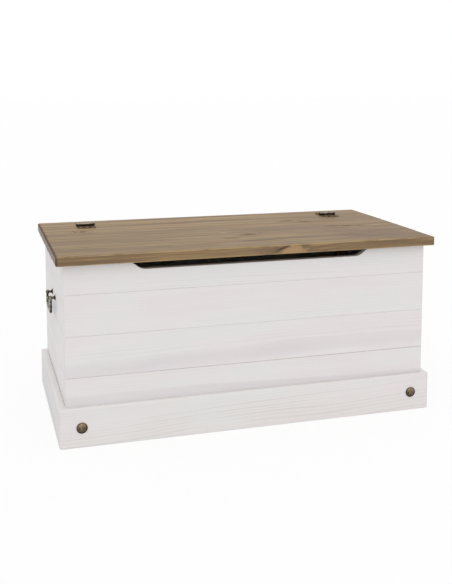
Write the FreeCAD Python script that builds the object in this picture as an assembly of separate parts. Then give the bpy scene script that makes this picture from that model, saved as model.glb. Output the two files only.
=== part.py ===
import FreeCAD, Part
import math
import os

# Storage trunk: whitewashed pine walls on a proud plinth, a waxed pine lid hinged to a fixed rear rail,
# and a drop handle on each end. Millimetres, +X to the right, -Y to the front, +Z up.
# The origin is on the floor, under the middle of the trunk's width and depth.

# Overall size, over the top boards
trunk_width = 915.0
trunk_depth = 480.0
trunk_height = 436.0

# Lid and the fixed rail behind it
lid_thickness = 22.0
lid_overhang = 11.0
lid_edge_radius = 3.0
lid_corner_radius = 5.0
lid_board_count = 4
rail_width = 80.0
seam_gap = 2.0
batten_width = 45.0
batten_thickness = 20.0
batten_inset = 128.0
batten_end_gap = 20.0
batten_chamfer = 6.0

# Plinth boards and the corner blocks inside them
plinth_height = 91.0
plinth_board = 17.0
plinth_corner_radius = 7.0
plinth_edge_radius = 3.5
plinth_foot_radius = 2.0
plinth_lap = 28.0
block_size = 60.0
block_chamfer = 25.0
block_floor_gap = 3.0

# Walls of tongue-and-groove planks
wall_setback = 10.0
wall_gap = 1.0
wall_corner_radius = 2.5
plank_thickness = 16.0
plank_count = 4
top_plank_height = 69.0
plank_ease = 1.0
tongue_width = 6.0
tongue_height = 6.0
tongue_gap = 0.2

# Finger cut-out in the top edge of the front wall
slot_half_width = 290.5
slot_depth = 19.3
slot_end_run = 24.7
slot_foot_radius = 32.0

# Inner frame and bottom
post_size = 30.0
post_chamfer = 4.0
post_top_gap = 5.0
cleat_size = 20.0
cleat_gap = 0.5
bottom_thickness = 9.0
bottom_gap = 1.0

# Domed studs on the plinth
stud_inset = 52.0
stud_diameter = 25.0
stud_rim_width = 1.6
stud_rim_height = 1.2
stud_dome_height = 5.0
stud_shank_diameter = 5.0
stud_shank_length = 34.0

# Drop handles
handle_below_top = 118.7
handle_spacing = 66.0
handle_reach = 12.0
flange_diameter = 13.0
flange_thickness = 1.6
flare_length = 4.0
neck_diameter = 6.0
eye_diameter = 10.0
stem_diameter = 4.0
stem_tail = 5.0
nut_across = 7.0
nut_thickness = 3.2
bail_drop = 33.4
bail_rod = 6.2
bail_bend_radius = 5.0
bail_shoulder = 0.8
bail_side_gap = 0.4
bail_pin_diameter = 3.6
bail_pin_end = 1.0

# Surface hinges
hinge_inset = 116.5
hinge_length = 46.0
knuckle_count = 3
leaf_reach = 38.0
leaf_lobe_extra = 4.0
leaf_thickness = 1.6
barrel_diameter = 10.0
barrel_lift = 0.3
knuckle_gap = 0.3
hinge_pin_diameter = 4.6
pin_head_diameter = 7.6
pin_head_rise = 1.8

# Screws
wood_screw_diameter = 4.0
wood_screw_head = 8.0
wood_screw_head_height = 2.4
block_screw_length = 85.0
bottom_screw_length = 24.0
rail_screw_length = 35.0
batten_screw_length = 34.0
bottom_screw_inset = 60.0
hinge_screw_diameter = 3.4
hinge_screw_head = 6.8
hinge_screw_dome = 1.8
hinge_screw_length = 15.0

# Fits: running clearance of pins, clearance round screws and stems, how far a cut runs past its piece,
# and how close two places are to count as one when edges are picked
pin_fit = 0.05
hole_gap = 0.1
overrun = 5.0
same_place = 0.005

# Shares: where the flare of a handle flange bends, and where screws stand along the bottom and the rail
flare_bend_share = 0.3
bottom_screw_shares = (0.0, 0.5, 1.0)
rail_screw_shares = (-0.8, 0.0, 0.8)

# Levels and faces that the pieces share
half_width = trunk_width / 2
front_edge = -trunk_depth / 2
back_face = trunk_depth / 2
wall_top = trunk_height - lid_thickness
wall_foot = plinth_height - plinth_lap
plinth_front_face = front_edge + lid_overhang
plinth_front_inner = plinth_front_face + plinth_board
plinth_side_inner = half_width - plinth_board
plinth_back_inner = back_face - plinth_board
wall_half = plinth_side_inner - wall_gap
wall_front = plinth_front_face + wall_setback
side_inner = wall_half - plank_thickness
front_inner = wall_front + plank_thickness
back_inner = back_face - plank_thickness
rail_front = back_face - rail_width
lid_back = rail_front - seam_gap
bottom_level = wall_foot + cleat_size
lower_plank_height = (wall_top - top_plank_height - wall_foot) / (plank_count - 1)
handle_y = (wall_front + back_face) / 2
handle_z = wall_top - handle_below_top
handle_x = wall_half + handle_reach
hinge_x = half_width - hinge_inset
hinge_y = rail_front - seam_gap / 2
barrel_radius = barrel_diameter / 2
hinge_z = trunk_height + barrel_lift + barrel_radius
batten_x = half_width - batten_inset
batten_front = front_inner + batten_end_gap
batten_back = lid_back - batten_end_gap
batten_foot = wall_top - batten_thickness
stud_x = half_width - stud_inset
stud_z = plinth_height / 2

SIDES = (("left", -1), ("right", 1))
UP = FreeCAD.Vector(0, 0, 1)
DOWN = FreeCAD.Vector(0, 0, -1)


def point(x, y, z):
    return FreeCAD.Vector(x, y, z)


def block(x0, x1, y0, y1, z0, z1):
    """Box between two corners, given in any order along each axis."""
    low = point(min(x0, x1), min(y0, y1), min(z0, z1))
    return Part.makeBox(abs(x1 - x0), abs(y1 - y0), abs(z1 - z0), low)


def prism(corners, along):
    """Solid made by carrying a flat outline along a straight line."""
    return Part.Face(Part.makePolygon(corners + corners[:1])).extrude(along)


def edges_where(shape, test):
    """Edges whose middle lies where the test says."""
    return [edge for edge in shape.Edges if test(edge.CenterOfMass)]


def near(value, target):
    return abs(value - target) < same_place


def turned(steps, origin, axis):
    """Solid turned about its axis. Steps are (radius, height) corners; a pair of corners is an arc by way of
    the first of them."""
    edges = []
    here = point(steps[0][0], 0, steps[0][1])
    for step in steps[1:]:
        if isinstance(step[0], tuple):
            middle, end = [point(radius, 0, height) for radius, height in step]
            edges.append(Part.Arc(here, middle, end).toShape())
        else:
            end = point(step[0], 0, step[1])
            edges.append(Part.makeLine(here, end))
        here = end
    solid = Part.Face(Part.Wire(edges)).revolve(point(0, 0, 0), UP, 360)
    solid.Placement = FreeCAD.Placement(origin, FreeCAD.Rotation(UP, axis))
    return solid


def crown_bend(radius, rise, base):
    """Arc from the top of a round crown down to its rim: a point midway along it, and its end."""
    ball = (radius * radius + rise * rise) / (2 * rise)
    half_angle = math.asin(radius / ball) / 2
    return (ball * math.sin(half_angle), base + rise - ball * (1 - math.cos(half_angle))), (radius, base)


def wood_screw(origin, inward, length, gap=0.0):
    """Countersunk screw with its head flush at the origin; a gap makes it the hole that the screw fits."""
    head = wood_screw_head / 2 + gap
    shank = wood_screw_diameter / 2 + gap
    tip = length + gap
    steps = [(0, 0), (head, 0), (shank, wood_screw_head_height), (shank, tip), (0, tip), (0, 0)]
    return turned(steps, origin, inward)


def drilled(shape, holes):
    """The piece with the given holes cut in it, as one solid."""
    return shape.cut(Part.makeCompound(holes)).Solids[0]


def save(name, solids):
    """One node: a single solid, or a group of like solids."""
    shape = solids[0] if len(solids) == 1 else Part.makeCompound(solids)
    shape.exportStep("parts/" + name + ".step")


# Fastener places

def block_screw_places():
    """Under the middle of each corner post."""
    post_x = side_inner - post_size / 2
    rows = (front_inner + post_size / 2, back_inner - post_size / 2)
    return [point(side * post_x, y, block_floor_gap) for _, side in SIDES for y in rows]


def bottom_screw_places():
    """Along the front and back cleats, through the bottom panel."""
    reach = side_inner - post_size - bottom_screw_inset
    rows = (front_inner + cleat_size / 2, back_inner - cleat_size / 2)
    columns = [reach * (2 * share - 1) for share in bottom_screw_shares]
    return [point(x, y, bottom_level + bottom_thickness) for x in columns for y in rows]


def rail_screw_places():
    """Up through the cleat under the rear rail."""
    row = back_inner - cleat_size / 2
    level = wall_top - cleat_size
    return [point(share * hinge_x, row, level) for share in rail_screw_shares]


def batten_screw_places():
    """One screw for each lid board that the batten crosses, midway along its bearing on the board."""
    board = (lid_back - front_edge) / lid_board_count
    places = []
    for _, side in SIDES:
        for index in range(lid_board_count):
            start = max(front_edge + index * board, batten_front)
            end = min(front_edge + (index + 1) * board, batten_back)
            places.append(point(side * batten_x, (start + end) / 2, batten_foot))
    return places


def hinge_screw_places(facing):
    """In the three lobes of each leaf; facing is 1 for the rear leaves and -1 for the front ones."""
    lobe = hinge_length / knuckle_count
    reach = leaf_reach - lobe / 2
    level = trunk_height + leaf_thickness
    places = []
    for _, side in SIDES:
        for step in (-1, 0, 1):
            extra = leaf_lobe_extra if step == 0 else 0
            places.append(point(side * hinge_x + step * lobe, hinge_y + facing * (reach + extra), level))
    return places


def carcass_screws(gap=0.0):
    """Screws of the corner blocks, the bottom panel and the rear rail, or their holes."""
    screws = [wood_screw(place, UP, block_screw_length, gap) for place in block_screw_places()]
    screws += [wood_screw(place, DOWN, bottom_screw_length, gap) for place in bottom_screw_places()]
    screws += [wood_screw(place, UP, rail_screw_length, gap) for place in rail_screw_places()]
    return screws


def hinge_screw(place, gap=0.0):
    """Round-headed screw seated on a hinge leaf; a gap makes it the hole for its shank."""
    shank = hinge_screw_diameter / 2 + gap
    if gap:
        return Part.makeCylinder(shank, hinge_screw_length + gap + overrun, place + UP * overrun, DOWN)
    head = hinge_screw_head / 2
    bend = crown_bend(head, hinge_screw_dome, 0)
    steps = [(0, -hinge_screw_length), (0, hinge_screw_dome), bend, (shank, 0),
             (shank, -hinge_screw_length), (0, -hinge_screw_length)]
    return turned(steps, place, UP)


# Plinth

def plinth_ring():
    """The three proud plinth boards in one piece, open at the back, with rounded corners and outer edges."""
    ring = block(-half_width, half_width, plinth_front_face, back_face, 0, plinth_height)

    def upright_front(middle):
        return near(middle.y, plinth_front_face) and near(abs(middle.x), half_width)
    ring = ring.makeFillet(plinth_corner_radius, edges_where(ring, upright_front))

    def top_rim(middle):
        return near(middle.z, plinth_height) and not near(middle.y, back_face)
    ring = ring.makeFillet(plinth_edge_radius, edges_where(ring, top_rim))

    def foot_rim(middle):
        return near(middle.z, 0) and not near(middle.y, back_face)
    ring = ring.makeFillet(plinth_foot_radius, edges_where(ring, foot_rim))
    hollow = block(-plinth_side_inner, plinth_side_inner, plinth_front_inner, back_face + overrun,
                   -overrun, plinth_height + overrun)
    return ring.cut(hollow)


def plinth_boards():
    """The ring parted along its two front mitres, and the plain back board between the side boards."""
    reach = trunk_depth + trunk_width
    corner_y = plinth_front_face
    outside = corner_y - half_width
    rise = UP * (plinth_height + 2 * overrun)
    wedge = prism([point(0, corner_y + half_width, -overrun),
                   point(-half_width - overrun, corner_y - overrun, -overrun),
                   point(0, outside, -overrun),
                   point(half_width + overrun, corner_y - overrun, -overrun)], rise)
    ring = plinth_ring()
    save("plinth_front", [drilled(ring.common(wedge), stud_holes())])
    rest = ring.cut(wedge)
    for name, side in SIDES:
        half = block(0, side * reach, -reach, reach, -overrun, plinth_height + overrun)
        save("plinth_" + name, [rest.common(half).Solids[0]])
    x = plinth_side_inner
    save("plinth_back", [block(-x, x, plinth_back_inner, back_face, 0, wall_foot)])


def corner_block(side, front):
    """Square block glued into a plinth corner, with its inner corner cut off; the posts stand on it."""
    x0 = side * plinth_side_inner
    x1 = side * (plinth_side_inner - block_size)
    y0 = plinth_front_inner if front else plinth_back_inner
    inward = 1 if front else -1
    y1 = y0 + inward * block_size
    cut_x = x1 + side * block_chamfer
    cut_y = y1 - inward * block_chamfer
    level = block_floor_gap
    corners = [point(x0, y0, level), point(x1, y0, level), point(x1, cut_y, level), point(cut_x, y1, level),
               point(x0, y1, level)]
    return prism(corners, UP * (wall_foot - block_floor_gap))


def stud_places():
    return [point(side * stud_x, plinth_front_face, stud_z) for _, side in SIDES]


def stud(place):
    """Domed stud with a thin rim round its crown; the shank runs through the board into the corner block."""
    rim = stud_diameter / 2
    crown = rim - stud_rim_width
    shank = stud_shank_diameter / 2
    bend = crown_bend(crown, stud_dome_height - stud_rim_height, stud_rim_height)
    steps = [(0, -stud_shank_length), (0, stud_dome_height), bend, (rim, stud_rim_height), (rim, 0),
             (shank, 0), (shank, -stud_shank_length), (0, -stud_shank_length)]
    return turned(steps, place, point(0, -1, 0))


def stud_holes():
    radius = stud_shank_diameter / 2 + hole_gap
    depth = stud_shank_length + hole_gap + overrun
    starts = [place - point(0, overrun, 0) for place in stud_places()]
    return [Part.makeCylinder(radius, depth, start, point(0, 1, 0)) for start in starts]


# Walls

def plank_levels(index):
    """Lower and upper shoulder of a plank, counted from the top of the wall."""
    if index == 0:
        return wall_top - top_plank_height, wall_top
    upper = wall_top - top_plank_height - (index - 1) * lower_plank_height
    return upper - lower_plank_height, upper


def plank_outline(index, rebate):
    """Corners of a plank's section as (depth from its face, height). The tongue stands on the upper edge and
    the groove is under the lower one; the ends of the wall are sawn plain. A rebate lets the lowest plank
    sit on the plinth board and lap down behind it."""
    low, high = plank_levels(index)
    middle = plank_thickness / 2
    tongue = tongue_width / 2
    groove = tongue + tongue_gap
    corners = [(0, high - plank_ease), (plank_ease, high)]
    if index > 0:
        corners += [(middle - tongue, high), (middle - tongue, high + tongue_height),
                    (middle + tongue, high + tongue_height), (middle + tongue, high)]
    corners += [(plank_thickness, high), (plank_thickness, low)]
    if index < plank_count - 1:
        roof = low + tongue_height + tongue_gap
        corners += [(middle + groove, low), (middle + groove, roof), (middle - groove, roof),
                    (middle - groove, low), (plank_ease, low), (0, low + plank_ease)]
    elif rebate:
        corners += [(rebate, low), (rebate, plinth_height), (0, plinth_height)]
    else:
        corners += [(0, low)]
    return corners


def finger_slot():
    """Long shallow cut with sloping ends that round into its floor."""
    floor = wall_top - slot_depth
    foot = slot_half_width - slot_end_run
    slope = math.atan2(slot_depth, slot_end_run)
    run = slot_foot_radius * math.tan(slope / 2)
    centre_z = floor + slot_foot_radius
    top = wall_top + overrun
    spread = slot_half_width + overrun * slot_end_run / slot_depth
    y = wall_front - overrun
    edges = []
    here = point(-spread, y, top)
    for side in (-1, 1):
        flat = point(side * (foot - run), y, floor)
        slant = point(side * (foot + run * math.cos(slope)), y, floor + run * math.sin(slope))
        half = point(side * (foot - run + slot_foot_radius * math.sin(slope / 2)), y,
                     centre_z - slot_foot_radius * math.cos(slope / 2))
        first, last = (slant, flat) if side < 0 else (flat, slant)
        edges.append(Part.makeLine(here, first))
        edges.append(Part.Arc(first, half, last).toShape())
        here = last
    edges.append(Part.makeLine(here, point(spread, y, top)))
    edges.append(Part.makeLine(point(spread, y, top), point(-spread, y, top)))
    return Part.Face(Part.Wire(edges)).extrude(point(0, plank_thickness + 2 * overrun, 0))


def long_wall(name, face_y, inward, rebate):
    """Front or back wall: planks the full width of the walls, over the ends of the side planks."""
    plan = block(-wall_half, wall_half, wall_front, back_face, 0, trunk_height)

    def upright(middle):
        return near(abs(middle.x), wall_half) and (near(middle.y, wall_front) or near(middle.y, back_face))
    plan = plan.makeFillet(wall_corner_radius, edges_where(plan, upright))
    for index in range(plank_count):
        corners = [point(-wall_half, face_y + inward * depth, z) for depth, z in plank_outline(index, rebate)]
        plank = prism(corners, point(2 * wall_half, 0, 0)).common(plan)
        if index == 0 and inward > 0:
            plank = plank.cut(finger_slot())
        save(name + "_plank_" + str(index + 1), [plank.Solids[0]])


def side_wall(name, side):
    """End wall: planks between the front and back walls, bored for the stems of the drop handle."""
    for index in range(plank_count):
        corners = [point(side * (wall_half - depth), front_inner, z) for depth, z in plank_outline(index, 0)]
        plank = prism(corners, point(0, back_inner - front_inner, 0))
        save(name + "_plank_" + str(index + 1), [drilled(plank, stem_holes(side))])


# Inner frame

def corner_post(side, front):
    """Square post in the corner of two walls, eased on its inner edge; the front ones stop below the lid."""
    x0 = side * side_inner
    x1 = side * (side_inner - post_size)
    y0 = front_inner if front else back_inner
    inward = 1 if front else -1
    y1 = y0 + inward * post_size
    corners = [point(x0, y0, wall_foot), point(x1, y0, wall_foot),
               point(x1, y1 - inward * post_chamfer, wall_foot),
               point(x1 + side * post_chamfer, y1, wall_foot), point(x0, y1, wall_foot)]
    top = wall_top - post_top_gap if front else wall_top
    return prism(corners, UP * (top - wall_foot))


def bottom_panel():
    """Sheet laid on the cleats, notched round the four posts."""
    x = side_inner - bottom_gap
    panel = block(-x, x, front_inner + bottom_gap, back_inner - bottom_gap, bottom_level,
                  bottom_level + bottom_thickness)
    notch = post_size + bottom_gap
    for _, side in SIDES:
        for y0, inward in ((front_inner, 1), (back_inner, -1)):
            panel = panel.cut(block(side * side_inner, side * (side_inner - notch), y0, y0 + inward * notch,
                                    bottom_level - overrun, bottom_level + bottom_thickness + overrun))
    return panel


def cleats():
    """Four square strips round the inside of the walls, between the posts, that carry the bottom."""
    x = side_inner - post_size - cleat_gap
    front = front_inner + post_size + cleat_gap
    back = back_inner - post_size - cleat_gap
    return {
        "cleat_front": block(-x, x, front_inner, front_inner + cleat_size, wall_foot, bottom_level),
        "cleat_back": block(-x, x, back_inner - cleat_size, back_inner, wall_foot, bottom_level),
        "cleat_left": block(-side_inner, -side_inner + cleat_size, front, back, wall_foot, bottom_level),
        "cleat_right": block(side_inner - cleat_size, side_inner, front, back, wall_foot, bottom_level),
    }


def rail_cleat():
    """Strip under the rear rail, against the back wall and between the back posts."""
    x = side_inner - post_size - cleat_gap
    return block(-x, x, back_inner - cleat_size, back_inner, wall_top - cleat_size, wall_top)


# Top

def top_slab(y0, y1, outer_y):
    """Board the width of the trunk, rounded on its ends and on the long edge that faces outwards."""
    slab = block(-half_width, half_width, y0, y1, wall_top, trunk_height)

    def outer_upright(middle):
        return near(middle.y, outer_y) and near(abs(middle.x), half_width)
    slab = slab.makeFillet(lid_corner_radius, edges_where(slab, outer_upright))
    seam_y = y0 + y1 - outer_y

    def rim(middle):
        level = near(middle.z, wall_top) or near(middle.z, trunk_height)
        return level and not near(middle.y, seam_y)
    return slab.makeFillet(lid_edge_radius, edges_where(slab, rim))


def lid_boards(holes):
    """The lid slab parted into its edge-glued boards, front to back."""
    slab = top_slab(front_edge, lid_back, front_edge)
    board = (lid_back - front_edge) / lid_board_count
    for index in range(lid_board_count):
        start = front_edge + index * board
        strip = block(-trunk_width, trunk_width, start, start + board, 0, 2 * trunk_height)
        save("lid_board_" + str(index + 1), [drilled(slab.common(strip), holes)])


def lid_batten(side):
    """Flat strip screwed across the underside of the lid boards, with its ends sloped off."""
    x = side * batten_x - batten_width / 2
    corners = [point(x, batten_front, wall_top), point(x, batten_back, wall_top),
               point(x, batten_back, batten_foot + batten_chamfer),
               point(x, batten_back - batten_chamfer, batten_foot),
               point(x, batten_front + batten_chamfer, batten_foot),
               point(x, batten_front, batten_foot + batten_chamfer)]
    return prism(corners, point(batten_width, 0, 0))


# Hinges

def knuckle_spans(facing):
    """Stretches of the barrel along X that belong to a leaf: the rear leaf has the outer two, the front leaf
    the middle one with a running gap at each end."""
    knuckle = hinge_length / knuckle_count
    if facing > 0:
        return [(-hinge_length / 2, -knuckle / 2), (knuckle / 2, hinge_length / 2)]
    return [(-knuckle / 2 + knuckle_gap, knuckle / 2 - knuckle_gap)]


def leaf_outline(middle_x, facing):
    """Plan of a leaf: straight sides from under the barrel, and three round lobes along its far edge."""
    lobe = hinge_length / knuckle_count
    half = hinge_length / 2
    shoulder = leaf_reach - lobe / 2
    level = trunk_height

    def at(along, out):
        return point(middle_x + along, hinge_y + facing * out, level)
    edges = [Part.makeLine(at(half, 0), at(-half, 0)), Part.makeLine(at(-half, 0), at(-half, shoulder))]
    neck = shoulder + leaf_lobe_extra
    tip = leaf_reach + leaf_lobe_extra
    edges.append(Part.Arc(at(-half, shoulder), at(-lobe, leaf_reach), at(-lobe / 2, shoulder)).toShape())
    edges.append(Part.makeLine(at(-lobe / 2, shoulder), at(-lobe / 2, neck)))
    edges.append(Part.Arc(at(-lobe / 2, neck), at(0, tip), at(lobe / 2, neck)).toShape())
    edges.append(Part.makeLine(at(lobe / 2, neck), at(lobe / 2, shoulder)))
    edges.append(Part.Arc(at(lobe / 2, shoulder), at(lobe, leaf_reach), at(half, shoulder)).toShape())
    edges.append(Part.makeLine(at(half, shoulder), at(half, 0)))
    return Part.Face(Part.Wire(edges))


def barrel_piece(middle_x, span, radius, extra=0.0):
    """Cylinder on the hinge axis over one stretch of the barrel."""
    start = point(middle_x + span[0] - extra, hinge_y, hinge_z)
    return Part.makeCylinder(radius, span[1] - span[0] + 2 * extra, start, point(1, 0, 0))


def hinge_leaf(middle_x, facing):
    """Leaf plate curled into its knuckles, with room cut for the other leaf's knuckles."""
    leaf = leaf_outline(middle_x, facing).extrude(UP * leaf_thickness)
    room = barrel_radius + barrel_lift + knuckle_gap
    for span in knuckle_spans(-facing):
        start = middle_x + span[0] - knuckle_gap
        end = middle_x + span[1] + knuckle_gap
        leaf = leaf.cut(block(start, end, hinge_y - facing * overrun, hinge_y + facing * room,
                              trunk_height - overrun, trunk_height + barrel_diameter))
    for span in knuckle_spans(facing):
        leaf = leaf.fuse(barrel_piece(middle_x, span, barrel_radius))
    whole = (-hinge_length / 2, hinge_length / 2)
    bore = barrel_piece(middle_x, whole, hinge_pin_diameter / 2 + pin_fit, overrun)
    return drilled(leaf.cut(bore), [hinge_screw(place, hole_gap) for place in hinge_screw_places(facing)])


def hinge_pin(middle_x):
    """Straight pin through the knuckles with a low round head at each end."""
    half = hinge_length / 2
    pin = hinge_pin_diameter / 2
    head = pin_head_diameter / 2
    bend = crown_bend(head, pin_head_rise, half)
    midway = (bend[0][0], -bend[0][1])
    steps = [(0, half + pin_head_rise), bend, (pin, half), (pin, -half), (head, -half),
             (midway, (0, -half - pin_head_rise)), (0, half + pin_head_rise)]
    return turned(steps, point(middle_x, hinge_y, hinge_z), point(1, 0, 0))


# Drop handles

def handle_rows():
    return [handle_y - handle_spacing / 2, handle_y + handle_spacing / 2]


def stem_holes(side):
    radius = stem_diameter / 2 + hole_gap
    depth = plank_thickness + 2 * overrun
    starts = [point(side * (wall_half + overrun), y, handle_z) for y in handle_rows()]
    return [Part.makeCylinder(radius, depth, start, point(-side, 0, 0)) for start in starts]


def handle_post(side, y):
    """Turned post: a threaded stem through the wall, a flange that flares into the neck, and a ball eye."""
    stem = stem_diameter / 2
    flange = flange_diameter / 2
    neck = neck_diameter / 2
    flare_end = flange_thickness + flare_length
    bend = (neck + (flange - neck) * flare_bend_share, flange_thickness + flare_length * flare_bend_share)
    tail = -plank_thickness - nut_thickness - stem_tail
    steps = [(0, tail), (stem, tail), (stem, 0), (flange, 0), (flange, flange_thickness),
             (bend, (neck, flare_end)), (neck, handle_reach), (0, handle_reach), (0, tail)]
    post = turned(steps, point(side * wall_half, y, handle_z), point(side, 0, 0))
    centre = point(side * handle_x, y, handle_z)
    post = post.fuse(Part.makeSphere(eye_diameter / 2, centre))
    bore = bail_pin_diameter / 2 + pin_fit
    eye = Part.makeCylinder(bore, 2 * eye_diameter, centre - point(0, eye_diameter, 0), point(0, 1, 0))
    return post.cut(eye).Solids[0]


def handle_nut(side, y):
    """Hexagon nut on the stem, tight against the inside of the wall."""
    radius = nut_across / math.sqrt(3)
    x = side * side_inner
    turns = [k * math.pi / 3 for k in range(6)]
    corners = [point(x, y + radius * math.cos(turn), handle_z + radius * math.sin(turn)) for turn in turns]
    nut = prism(corners, point(-side * nut_thickness, 0, 0))
    start = point(x + side * overrun, y, handle_z)
    return nut.cut(Part.makeCylinder(stem_diameter / 2 + hole_gap, nut_thickness + 2 * overrun, start,
                                     point(-side, 0, 0))).Solids[0]


def bent_rod(points, radius, bend_radius):
    """Round rod along straight runs joined by equal bends."""
    edges = []
    here = points[0]
    for before, corner, after in zip(points, points[1:], points[2:]):
        back = (before - corner).normalize()
        ahead = (after - corner).normalize()
        half_turn = back.getAngle(ahead) / 2
        reach = bend_radius / math.tan(half_turn)
        bisector = (back + ahead).normalize()
        middle = corner + bisector * (bend_radius / math.sin(half_turn) - bend_radius)
        edges.append(Part.makeLine(here, corner + back * reach))
        edges.append(Part.Arc(corner + back * reach, middle, corner + ahead * reach).toShape())
        here = corner + ahead * reach
    edges.append(Part.makeLine(here, points[-1]))
    section = Part.Wire(Part.makeCircle(radius, points[0], points[1] - points[0]))
    return Part.Wire(edges).makePipeShell([section], True, True)


def bail(side):
    """Hanging U of round rod whose turned-in ends narrow to the pins that ride in the eyes."""
    x = side * handle_x
    shoulder = handle_spacing / 2 + eye_diameter / 2 + bail_side_gap
    leg = shoulder + bail_shoulder + bail_bend_radius
    foot = handle_z - bail_drop
    path = [point(x, handle_y - shoulder, handle_z), point(x, handle_y - leg, handle_z),
            point(x, handle_y - leg, foot), point(x, handle_y + leg, foot),
            point(x, handle_y + leg, handle_z), point(x, handle_y + shoulder, handle_z)]
    rod = bent_rod(path, bail_rod / 2, bail_bend_radius)
    overlap = bail_shoulder / 2
    pin_length = eye_diameter + bail_side_gap + bail_pin_end + overlap
    for way in (-1, 1):
        start = point(x, handle_y + way * (shoulder + overlap), handle_z)
        rod = rod.fuse(Part.makeCylinder(bail_pin_diameter / 2, pin_length, start, point(0, -way, 0)))
    return rod.removeSplitter().Solids[0]


# The trunk, piece by piece

screw_holes = carcass_screws(hole_gap)
plinth_boards()
save("plinth_studs", [stud(place) for place in stud_places()])
for name, side in SIDES:
    save("block_front_" + name, [drilled(corner_block(side, True), screw_holes + stud_holes())])
    save("block_back_" + name, [drilled(corner_block(side, False), screw_holes)])
    save("post_front_" + name, [drilled(corner_post(side, True), screw_holes)])
    save("post_back_" + name, [drilled(corner_post(side, False), screw_holes)])

long_wall("front", wall_front, 1, plinth_front_inner + wall_gap - wall_front)
long_wall("back", back_face, -1, 0)
for name, side in SIDES:
    side_wall(name, side)

for name, strip in cleats().items():
    save(name, [drilled(strip, screw_holes)])
save("bottom_panel", [drilled(bottom_panel(), screw_holes)])
save("rail_cleat", [drilled(rail_cleat(), screw_holes)])
save("carcass_screws", carcass_screws())

rear_holes = [hinge_screw(place, hole_gap) for place in hinge_screw_places(1)]
front_holes = [hinge_screw(place, hole_gap) for place in hinge_screw_places(-1)]
batten_holes = [wood_screw(place, UP, batten_screw_length, hole_gap) for place in batten_screw_places()]
save("rear_rail", [drilled(top_slab(rail_front, back_face, back_face), screw_holes + rear_holes)])
lid_boards(front_holes + batten_holes)
save("batten_screws", [wood_screw(place, UP, batten_screw_length) for place in batten_screw_places()])
for name, side in SIDES:
    save("lid_batten_" + name, [drilled(lid_batten(side), batten_holes)])
    save("hinge_rear_leaf_" + name, [hinge_leaf(side * hinge_x, 1)])
    save("hinge_front_leaf_" + name, [hinge_leaf(side * hinge_x, -1)])
    save("handle_posts_" + name, [handle_post(side, y) for y in handle_rows()])
    save("bail_" + name, [bail(side)])
save("hinge_pins", [hinge_pin(side * hinge_x) for _, side in SIDES])
save("hinge_rear_screws", [hinge_screw(place) for place in hinge_screw_places(1)])
save("hinge_front_screws", [hinge_screw(place) for place in hinge_screw_places(-1)])
save("handle_nuts", [handle_nut(side, y) for _, side in SIDES for y in handle_rows()])
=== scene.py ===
import bpy
import numpy as np
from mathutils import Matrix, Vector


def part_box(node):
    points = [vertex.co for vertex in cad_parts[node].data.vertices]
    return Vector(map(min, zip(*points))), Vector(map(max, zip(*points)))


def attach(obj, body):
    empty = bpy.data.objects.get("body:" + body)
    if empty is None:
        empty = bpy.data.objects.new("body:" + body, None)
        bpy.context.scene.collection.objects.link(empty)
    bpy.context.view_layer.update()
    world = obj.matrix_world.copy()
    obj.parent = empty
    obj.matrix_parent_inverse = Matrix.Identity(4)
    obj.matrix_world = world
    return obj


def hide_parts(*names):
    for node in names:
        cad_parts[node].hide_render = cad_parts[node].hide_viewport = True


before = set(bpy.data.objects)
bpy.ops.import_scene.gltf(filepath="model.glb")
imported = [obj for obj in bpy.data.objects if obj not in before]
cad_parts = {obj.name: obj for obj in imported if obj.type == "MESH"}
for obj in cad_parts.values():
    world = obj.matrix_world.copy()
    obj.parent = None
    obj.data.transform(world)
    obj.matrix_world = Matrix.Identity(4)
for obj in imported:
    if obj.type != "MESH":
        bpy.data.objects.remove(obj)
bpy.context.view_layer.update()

# Plinth. Three pine boards stand on edge round the foot of the trunk, mitred at the front corners and
# glued round four corner blocks; a plain board closes the back. All are planed, eased and brushed with
# a thin white wash.

plinth_top_round = 0.0035
plinth_foot_round = 0.002
plinth_corner_round = 0.007
plinth_wall_round = 0.0016
plain_arris = 0.0007
glue_joint = 0.00008
arc_steps = 4
section_gap = 0.009
station_gap = 0.011
planing_depth = 0.00014
planing_turns = 3
worn_round = 0.0009
wear_least = 0.85
wear_range = 0.3
lip_reach = 0.006
sharp_angle = np.radians(40)
wander_pitches = np.array((6.3, 15.1, 29.7, 61.3))
wander_leans = np.array((11.0, -23.0, 37.0, -19.0))
wander_power = 1.5
pith_depth_seed = 7.1
pith_height_seed = 3.7
level_seed = 40
plain_marks = {"heart": 0.0, "tone": 1.0, "thin": 0.55, "sunk": -1.0, "pooled": 0.0, "grimy": 0.0}


def waver(along, across, seed):
    """Slow wander from 0 to 1: half of one plus the mean of four sines of the place, whose phases are the
    seed times their number to a power."""
    phases = seed * np.arange(1, len(wander_pitches) + 1) ** wander_power
    waves = along[..., None] * wander_pitches + across[..., None] * wander_leans + phases
    return 0.5 + 0.5 * np.sin(waves).mean(-1)


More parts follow.
